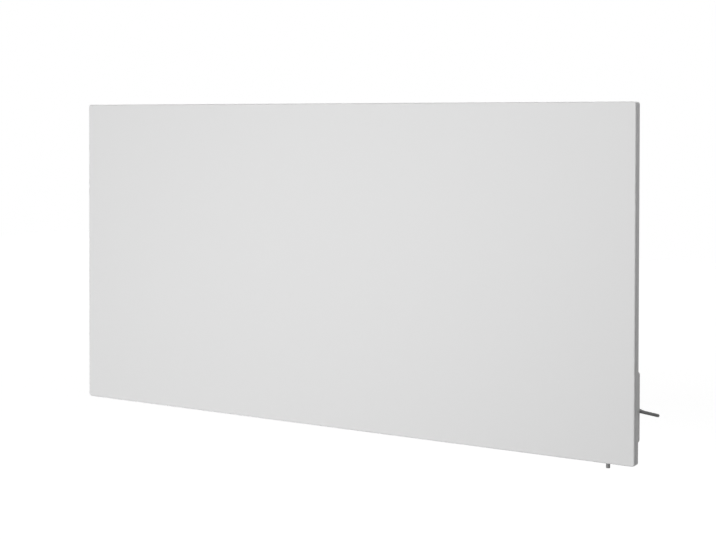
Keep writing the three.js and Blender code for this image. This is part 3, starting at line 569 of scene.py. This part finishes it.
tie_low, tie_high = (Vector(corner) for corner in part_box("cord_tie"))
tie_middle = (tie_low.x + tie_high.x) / 2
strap_width, strap_sheet, strap_corner = (tie_high.x - tie_low.x) * 0.6, 0.0012, 0.0055
head_half_x, head_half_y, head_bevel = 0.0034, 0.0028, 0.0007
tail_half_x, tail_end, tail_bevel = 0.0020, 0.0090, 0.0003
head_z = tie_low.z - 0.0016
tie_meshes = [
    band(
        (tie_low.y, tie_low.z),
        (tie_high.y, tie_high.z),
        strap_corner,
        strap_width,
        strap_sheet,
        tie_middle,
    ),
    cuboid(
        (tie_middle - head_half_x, coil_centre.y - head_half_y, head_z - 0.0016),
        (tie_middle + head_half_x, coil_centre.y + head_half_y, tie_low.z + 0.0008),
        head_bevel,
    ),
    cuboid(
        (tie_middle - tail_half_x, coil_centre.y + 0.0022, head_z - 0.0008),
        (tie_middle + tail_half_x, coil_centre.y + tail_end, head_z + 0.0004),
        tail_bevel,
    ),
]
coil_tie = piece("nylon_tie", joined(tie_meshes), "panel", "black_plastic", black_nylon, "cord_tie")

# ---- Strain relief ----
# Soft PVC moulded on the lead where it enters the box. A groove near its root sits in the box's
# wall, and its ribbed taper keeps the lead from kinking. A nylon clamp grips the lead inside.
leftward = (-1, 0, 0)
relief_start, relief_length, relief_radius = span("strain_relief", leftward)
taper_length, taper_ribs, taper_rib_depth = 0.026, 5, 0.0007
taper_root_radius, taper_tip_radius = 0.0048, 0.0037
flange = 0.002
neck_radius = 0.004
shoulder = relief_length - taper_length
relief_corners = [
    (0, 0),
    (relief_radius, 0, 0.0005),
    (relief_radius, flange, 0.0005),
    (neck_radius, flange),
    (neck_radius, shoulder - flange),
    (relief_radius, shoulder - flange, 0.0005),
    (relief_radius, shoulder - 0.0002, 0.0005),
    *ribbed(shoulder, relief_length, taper_root_radius, taper_tip_radius, taper_ribs, taper_rib_depth),
    (0, relief_length),
]
turned_piece(
    "ribbed_strain_relief",
    relief_corners,
    relief_start,
    leftward,
    "panel",
    "grey_rubber",
    soft_pvc,
    "strain_relief",
)


def paint(node, material):
    """Gives a CAD node this material."""
    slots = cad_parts[node].data.materials
    slots.clear()
    slots.append(material)


paint("cord_inner_end", soft_pvc)
paint("cord_clamp", black_nylon)

# ---- Floor, background and lamps ----
# A plain pale floor lies a metre under the heater, as under one that hangs on a wall. Two soft
# lamps light the face from the left and from above right, a small one the side and a large one the back.
floor_half = 14
floor_z = -1.5
floor_corners = [(x * floor_half, y * floor_half, floor_z) for x, y in ((-1, -1), (1, -1), (1, 1), (-1, 1))]
floor_mesh = bpy.data.meshes.new("floor")
floor_mesh.from_pydata(floor_corners, [], [(0, 1, 2, 3)])
floor = bpy.data.objects.new("floor", floor_mesh)
bpy.context.scene.collection.objects.link(floor)


def shown_straight(owner):
    """1 for what the camera sees, itself or in a reflection or through something clear, and 0 for light."""
    path = add(owner, "LightPath")
    straight = {0: path.outputs["Is Camera Ray"], 1: path.outputs["Is Glossy Ray"]}
    seen = add(owner, "Math", straight, operation="MAXIMUM")
    through = {0: seen.outputs[0], 1: path.outputs["Is Transmission Ray"]}
    return add(owner, "Math", through, operation="MAXIMUM").outputs[0]


white = (1, 1, 1, 1)


def pale_floor():
    # Matt white paint. It is lit as it lies, so it keeps the shadow, and a glow brings it to white.
    # The glow grows with the distance, as the lamps' light fades, so the floor runs into the background.
    material, shader = new_material("pale_floor", {"Base Color": srgb("#b8b8b8"), "Roughness": 0.9})
    away = add(material, "VectorMath", {0: object_place(material)}, operation="LENGTH")
    fade_range = {"From Min": 2.5, "From Max": 8, "To Min": 0.85, "To Max": 0.91}
    fade = add(material, "MapRange", {"Value": away.outputs["Value"], **fade_range})
    shown_fade = {0: shown_straight(material), 1: fade.outputs["Result"]}
    glow = add(material, "Math", shown_fade, operation="MULTIPLY")
    shader.inputs["Emission Color"].default_value = white
    join(material, glow.outputs[0], shader.inputs["Emission Strength"])
    return material


floor_mesh.materials.append(pale_floor())

world = bpy.data.worlds.new("studio")
bpy.context.scene.world = world
world.use_nodes = True
sky = world.node_tree.nodes["Background"]
fill_level = 0.085
level = add(world, "MapRange", {"Value": shown_straight(world), "To Min": fill_level, "To Max": 1.0})
sky.inputs["Color"].default_value = white
join(world, level.outputs["Result"], sky.inputs["Strength"])


def soft_lamp(name, place, aim, size, power):
    """A square lamp of this size in metres and power in watts, aimed at a point."""
    data = bpy.data.lights.new(name, "AREA")
    data.shape = "SQUARE"
    data.size = size
    data.energy = power
    lamp = bpy.data.objects.new(name, data)
    bpy.context.scene.collection.objects.link(lamp)
    lamp.location = place
    lamp.rotation_euler = (Vector(aim) - Vector(place)).to_track_quat("-Z", "Y").to_euler()


heater_middle, right_side = (0, 0, -0.2), (0.6, 0, -0.2)
soft_lamp("lamp_front_left", (-0.85, -2.3, -0.3), heater_middle, 1.5, 29.5)
soft_lamp("lamp_front_right", (0.9, -2.3, 0.8), heater_middle, 1.5, 25)
soft_lamp("lamp_side", (1.9, 0.5, 1.1), right_side, 0.8, 6.8)
soft_lamp("lamp_back", (-0.6, 2.8, 2.2), heater_middle, 2.0, 70)

# ---- Front panel ----
# Sheet steel, 1.2 mm thick, folded back all round with rounded edges and corners, in a satin white
# powder coat. It is the heated face, so nothing is mounted on it.


def powder_coat(name, light, shade):
    # Powder coat on steel: satin, even in colour, with the faint ripple that the melted powder sets into.
    material, shader = new_material(name, {"IOR": 1.5, "Specular IOR Level": 0.35})
    place = object_place(material)
    drift = add(material, "TexNoise", {"Vector": place, "Scale": per_metre(420), "Detail": 1})
    drifting_tone(material, shader, drift.outputs["Fac"], shade, light)
    drifting_gloss(material, shader, drift.outputs["Fac"], 0.44, 0.5)
    ripple = add(material, "TexNoise", {"Vector": place, "Scale": per_metre(1.6), "Detail": 2})
    relief(material, shader, ripple.outputs["Fac"], 0.12, 0.1)
    return material


least_corner = 1e-5
flat_start = 0.012  # how far in from its outline a shell's flat begins


def folded(low, high, corner, profile):
    """A sheet shell in XZ: a profile of (distance in from the outline, Y) swept round a rounded rectangle
    and closed by a flat at each end."""
    points, rings = [], []
    for inward, y in profile:
        radius = max(corner - inward, least_corner)
        inner_low = (low.x + inward, low.z + inward)
        inner_high = (high.x - inward, high.z - inward)
        spokes = corner_spokes(inner_low, inner_high, radius)
        rings.append(len(points))
        for hub_x, hub_z, along_x, along_z in spokes:
            points.append((hub_x + radius * along_x, y, hub_z + radius * along_z))
    count = len(spokes)
    faces = [tuple(range(rings[0], rings[0] + count)), tuple(range(rings[-1], rings[-1] + count))]
    for near, far in zip(rings, rings[1:]):
        faces += faces_between(near, far, count)
    return mesh_of(points, faces)


panel_corner = 0.005
pan_low, pan_high = (Vector(corner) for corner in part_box("front_panel"))
pan_sheet, pan_round = 0.0012, 0.0018
pan_face, pan_end = pan_low.y, pan_high.y
pan_profile = [
    (flat_start, pan_face + pan_sheet),
    *rounded(
        [
            (0.004, pan_face + pan_sheet),
            (pan_sheet, pan_face + pan_sheet, pan_round - pan_sheet),
            (pan_sheet, pan_end, 0.0003),
            (0, pan_end, 0.0003),
            (0, pan_face, pan_round),
            (0.004, pan_face),
        ]
    ),
    (flat_start, pan_face),
]
piece(
    "folded_front_panel",
    folded(pan_low, pan_high, panel_corner, pan_profile),
    "panel",
    "white_enamel",
    powder_coat("white_powder_coat", "#e7e7e7", "#e5e5e5"),
    "front_panel",
)

# ---- Rear tray ----
# Sheet steel, 1 mm thick, in the same white powder coat. Its joggled lip plugs into the front panel and
# leaves a narrow gap between the two, whose faces are painted dark grey as painted shade.
tray_low, tray_high = (Vector(corner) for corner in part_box("rear_tray"))
tray_sheet, tray_round = 0.001, 0.0045
seat_gap, joint_gap = 0.0003, 0.0012
lip_out = pan_sheet + seat_gap
lip_in = lip_out + tray_sheet
tray_front = pan_end + joint_gap
tray_back = tray_high.y
tray_inside = tray_back - tray_sheet
tray_profile = [
    (flat_start, tray_inside),
    *rounded(
        [
            (0.006, tray_inside),
            (tray_sheet, tray_inside, tray_round - tray_sheet),
            (tray_sheet, tray_front + tray_sheet, 0.0002),
            (lip_in, tray_front + tray_sheet, 0.0003),
            (lip_in, tray_low.y, 0.0003),
            (lip_out, tray_low.y, 0.0003),
            (lip_out, tray_front, 0.0002),
            (0, tray_front, 0.0006),
            (0, tray_back, tray_round),
            (0.006, tray_back),
        ]
    ),
    (flat_start, tray_back),
]
# A dark grey coat for the faces in the joint: painted shade in the gap between the panel and the tray.
painted_shade_joint_coat = powder_coat("joint_painted_shade_coat", "#505050", "#4a4a4a")
rear_tray = piece(
    "folded_rear_tray",
    folded(tray_low, tray_high, panel_corner, tray_profile),
    "panel",
    "tray_enamel",
    powder_coat("white_powder_coat_on_tray", "#dddddd", "#dbdbdb"),
    "rear_tray",
)
rear_tray.data.materials.append(painted_shade_joint_coat)
painted_shade_margin = 0.0001
# The faces in front of the tray's front edge, in the joint, get the painted shade.
for face in rear_tray.data.polygons:
    if face.center.y < tray_front - painted_shade_margin:
        face.material_index = 1
# The leads pass from the tray into the box through a square slot.
cover_low, cover_high = (Vector(corner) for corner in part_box("control_box_cover"))
slot_from_side, slot_above_bottom, slot_size = 0.010, 0.030, 0.020
slot_low = (cover_low.x + slot_from_side, tray_inside - 2 * cutter_reach, cover_low.z + slot_above_bottom)
slot_high = (slot_low[0] + slot_size, tray_back + 2 * cutter_reach, slot_low[2] + slot_size)
cut(rear_tray, cuboid(slot_low, slot_high))


def plain_rod(radius, length, start, direction, steps=64):
    """A rod to cut a round hole with."""
    return turned([(0, 0), (radius, 0), (radius, length), (0, length)], start, direction, steps)


# The button's sleeve sits in a round hole in the bottom wall.
up = (0, 0, 1)
sleeve_start, sleeve_length, sleeve_radius = span("button_sleeve", up)
hole_start = sleeve_start - Vector((0, 0, 2 * cutter_reach))
hole_length = 0.006  # enough to pass right through a sheet
cut(rear_tray, plain_rod(sleeve_radius + seat_gap, hole_length, hole_start, up))

# ---- Control box cover ----
# A cover of moulded light grey ABS over the circuit board, 1.8 mm thick, with four pillars through which
# cross-recessed screws hold it to the tray.
cover_sheet, cover_round, cover_corner = 0.0018, 0.0026, 0.006
cover_front, cover_back = cover_low.y, cover_high.y
cover_profile = [
    (flat_start, cover_back - cover_sheet),
    *rounded(
        [
            (0.005, cover_back - cover_sheet),
            (cover_sheet, cover_back - cover_sheet, cover_round - cover_sheet),
            (cover_sheet, cover_front, 0.0002),
            (0, cover_front, 0.0003),
            (0, cover_back, cover_round),
            (0.005, cover_back),
        ]
    ),
    (flat_start, cover_back),
]
light_abs = moulded("moulded_light_grey_abs", "#d4d4d3", "#d0d0cf", 0.5)
box_cover = piece(
    "moulded_box_cover",
    folded(cover_low, cover_high, cover_corner, cover_profile),
    "panel",
    "light_grey_plastic",
    light_abs,
    "control_box_cover",
)
towards_wall = (0, 1, 0)
head_room = 0.0004
head_seat = cover_back - 0.0018
pillar_radius, bore_radius = 0.004, 0.0018
shank_radius, root_radius, tip_radius = 0.0015, 0.0012, 0.0009
thread_start, root_start, thread_pitch, thread_turns = 0.0020, 0.0023, 0.0006, 8
recess_half, recess_slit, recess_depth = 0.0015, 0.0003, 0.0009
pillars = []
for number in range(1, 5):
    screw_start, screw_length, head_radius = span(f"cover_screw_{number}", towards_wall)
    seat_place = (screw_start.x, head_seat - 2 * cutter_reach, screw_start.z)
    cut(box_cover, plain_rod(head_radius + head_room, hole_length, seat_place, towards_wall, 32))
    pillar_place = (screw_start.x, cover_front, screw_start.z)
    pillar_length = head_seat - cover_front
    pillar_ring = [
        (bore_radius, 0, 0.0002),
        (pillar_radius, 0, 0.0003),
        (pillar_radius, pillar_length),
        (bore_radius, pillar_length),
        (bore_radius, 0.0006),
    ]
    pillars.append(turned(rounded(pillar_ring), pillar_place, towards_wall, 32))

    screw_corners = [(0, 0), (tip_radius, 0, 0.0003), (shank_radius, 0.0016)]
    for thread in range(thread_turns):
        screw_corners += [
            (shank_radius, thread_start + thread * thread_pitch),
            (root_radius, root_start + thread * thread_pitch),
        ]
    shank = head_seat - screw_start.y
    screw_corners += [
        (shank_radius, 0.0072),
        (shank_radius, shank),
        (head_radius, shank, 0.0002),
        (head_radius, screw_length - 0.0006, 0.0004),
        (head_radius * 0.55, screw_length, 0.0012),
        (0, screw_length),
    ]
    cover_screw = turned_piece(
        f"pan_head_screw_{number}",
        screw_corners,
        screw_start,
        towards_wall,
        "panel",
        "steel",
        nickel,
        f"cover_screw_{number}",
        steps=48,
    )
    head_top = screw_start.y + screw_length
    for half_x, half_z in ((recess_half, recess_slit), (recess_slit, recess_half)):
        cut(
            cover_screw,
            cuboid(
                (screw_start.x - half_x, head_top - recess_depth, screw_start.z - half_z),
                (screw_start.x + half_x, head_top + cutter_reach, screw_start.z + half_z),
            ),
        )
piece("cover_pillars", joined(pillars), "panel", "light_grey_plastic", light_abs)

# ---- Push button ----
# A turned grey acetal cap with a dished end, sliding in a thin black nylon sleeve in the bottom edge. Its
# stem works the switch above it.
button_start, button_length, button_radius = span("push_button", up)
cap_length = 0.0154
stem_radius = 0.0018
dish_depth = 0.0003
button_corners = [
    (0, dish_depth),
    (button_radius - 0.0012, dish_depth, 0.0004),
    (button_radius - 0.0008, 0, 0.0003),
    (button_radius, 0, 0.0005),
    (button_radius, cap_length - 0.0012, 0.0004),
    (button_radius - 0.0006, cap_length, 0.0002),
    (stem_radius, cap_length, 0.0003),
    (stem_radius, button_length, 0.0004),
    (0, button_length),
]
turned_piece(
    "acetal_push_button",
    button_corners,
    button_start,
    up,
    "push_button",
    "grey_plastic",
    moulded("moulded_grey_acetal", "#8e8e8e", "#868686", 0.35),
    "push_button",
    steps=72,
)
sleeve_wall = 0.0007
sleeve_bore = sleeve_radius - sleeve_wall
sleeve_ring = [
    (sleeve_bore, 0, 0.0002),
    (sleeve_radius, 0, 0.0001),
    (sleeve_radius, sleeve_length, 0.0002),
    (sleeve_bore, sleeve_length, 0.0002),
    (sleeve_bore, 0.0004),
]
turned_piece(
    "nylon_button_sleeve",
    sleeve_ring,
    sleeve_start,
    up,
    "panel",
    "black_plastic",
    black_nylon,
    "button_sleeve",
    steps=72,
    round_steps=3,
)
paint("switch_body", black_nylon)
paint("relay", black_nylon)

# ---- Rails ----
# Two folded lengths of galvanised sheet, 2 mm thick. One is screwed to the wall through its four holes,
# and the other is riveted to the panel's back and hooks over it.


def galvanised_steel():
    # Hot-dip galvanised sheet: dull zinc whose flat crystals, the spangle, differ a little in tone.
    material, shader = new_material("galvanised_steel", {"Metallic": 1.0})
    place = object_place(material)
    spangle = add(material, "TexVoronoi", {"Vector": place, "Scale": per_metre(9)})
    grey = add(material, "SeparateColor", {"Color": spangle.outputs["Color"]})
    drifting_tone(material, shader, grey.outputs["Red"], "#a9adb0", "#b9bdc0")
    drifting_gloss(material, shader, grey.outputs["Green"], 0.38, 0.55)
    skin = add(material, "TexNoise", {"Vector": place, "Scale": per_metre(2.5), "Detail": 3})
    relief(material, shader, skin.outputs["Fac"], 0.2, 0.1)
    return material


zinc = galvanised_steel()
paint("wall_rail", zinc)
paint("hook_rail", zinc)

hook_low, hook_high = (Vector(corner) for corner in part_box("hook_rail"))
rail_sheet = 0.002
rivet_below_top = 0.012
rivet_corners = [
    (0, 0.0007),
    (0.0008, 0.0007, 0.0002),
    (0.0012, 0.0014, 0.0003),
    (0.0020, 0.0014, 0.0006),
    (0.0034, 0.0004, 0.0003),
    (0.0034, 0),
    (0, 0),
]
rivet_count = 7
rivet_spacing = (hook_high.x - hook_low.x) / rivet_count
rivets = []
for number in range(rivet_count):
    rivet_x = hook_low.x + (number + 0.5) * rivet_spacing
    rivet_place = (rivet_x, hook_low.y + rail_sheet, hook_high.z - rivet_below_top)
    rivets.append(turned(rounded(rivet_corners), rivet_place, towards_wall, 40))
piece("blind_rivets", joined(rivets), "panel", "galvanised_steel", nickel)

# ---- Wall spacers ----
# Moulded black nylon posts with a wide foot, glued to the tray, and a grooved rubber pad that rests on the
# wall. They keep the panel's lower half as far off the wall as the rails keep its upper half.
black_rubber = moulded("moulded_black_rubber", "#222324", "#1b1c1d", 0.8, 1.4)
post_radius, end_radius = 0.007, 0.009
pad_groove_depth = 0.0006
for side in ("left", "right"):
    post_start, post_length, foot_radius = span(f"wall_spacer_{side}", towards_wall)
    post_corners = [
        (0, 0),
        (foot_radius, 0, 0.0004),
        (foot_radius, 0.0030, 0.0012),
        (foot_radius - 0.004, 0.0040, 0.002),
        (post_radius + 0.002, 0.0046, 0.002),
        (post_radius, 0.0100, 0.006),
        (post_radius, post_length - 0.0045, 0.003),
        (end_radius, post_length - 0.0012, 0.0008),
        (end_radius, post_length, 0.0003),
        (0, post_length),
    ]
    turned_piece(
        f"nylon_wall_post_{side}",
        post_corners,
        post_start,
        towards_wall,
        "panel",
        "black_plastic",
        black_nylon,
        f"wall_spacer_{side}",
    )
    pad_start, pad_length, pad_radius = span(f"spacer_pad_{side}", towards_wall)
    pad_corners = [(0, 0), (pad_radius, 0, 0.0008), (pad_radius, pad_length, 0.0008)]
    for groove in (0.0088, 0.0060, 0.0032):
        pad_corners += [
            (groove, pad_length, 0.0002),
            (groove - 0.0002, pad_length - pad_groove_depth, 0.0001),
            (groove - 0.0008, pad_length - pad_groove_depth, 0.0001),
            (groove - 0.0010, pad_length, 0.0002),
        ]
    pad_corners.append((0, pad_length))
    turned_piece(
        f"rubber_wall_pad_{side}",
        pad_corners,
        pad_start,
        towards_wall,
        "panel",
        "black_rubber",
        black_rubber,
        f"spacer_pad_{side}",
        round_steps=3,
    )

# ---- Inside ----
# The film, its busbars, the foil and the board lie between the front panel and the tray, and the
# circuit board is under the box's cover. None of it shows on a closed heater.


stripe_mm = 24
stripes_per_scale = 6.3  # a wave texture of scale 1 draws so many stripes to a metre


def printed_film():
    # Carbon ink printed in stripes on polyester film: matt black bands with a faint sheen between them.
    material, shader = new_material("carbon_printed_film", {"IOR": 1.6})
    place = object_place(material)
    stripe_scale = per_metre(stripe_mm) / stripes_per_scale
    stripes = add(material, "TexWave", {"Vector": place, "Scale": stripe_scale, "Distortion": 0.0})
    drifting_tone(material, shader, stripes.outputs["Fac"], "#1b1b1e", "#38383c")
    drifting_gloss(material, shader, stripes.outputs["Fac"], 0.45, 0.75)
    return material


def mineral_wool():
    # Pressed mineral wool: matt yellow-grey fibres that lie along the board.
    material, shader = new_material("pressed_mineral_wool", {"Roughness": 0.95})
    place = object_place(material, (1, 4, 3))
    fibres = add(material, "TexNoise", {"Vector": place, "Scale": per_metre(3), "Detail": 6})
    drifting_tone(material, shader, fibres.outputs["Fac"], "#a89a6e", "#e0d6b4")
    relief(material, shader, fibres.outputs["Fac"], 0.8, 0.4)
    return material


def bare_metal(name, light, shade, roughness):
    # Rolled metal: bright, with long faint streaks from the rolls.
    material, shader = new_material(name, {"Metallic": 1.0})
    place = object_place(material, (1, 1, 0.05))
    streaks = add(material, "TexNoise", {"Vector": place, "Scale": per_metre(2), "Detail": 3})
    drifting_tone(material, shader, streaks.outputs["Fac"], shade, light)
    drifting_gloss(material, shader, streaks.outputs["Fac"], roughness - 0.05, roughness + 0.05)
    return material


paint("heating_film", printed_film())
paint("insulation_board", mineral_wool())
paint("circuit_board", moulded("green_solder_mask", "#1f6b41", "#185634", 0.35, 2, 8))
paint("terminal_block", moulded("blue_polyamide", "#3f6ea8", "#35609a", 0.45))
paint("lead_neutral", moulded("blue_silicone", "#2f5f9a", "#28548b", 0.5))
paint("lead_live", moulded("brown_silicone", "#7a4128", "#6a3822", 0.5))
copper = bare_metal("rolled_copper", "#d58a63", "#c07950", 0.3)
paint("busbar_left", copper)
paint("busbar_right", copper)
paint("reflector_foil", bare_metal("aluminium_foil", "#e0e2e4", "#cfd1d3", 0.25))
paint("earth_stud", bare_metal("turned_brass", "#d8b76a", "#c7a355", 0.3))
paint("thermal_cutout_left", nickel)
paint("thermal_cutout_right", nickel)
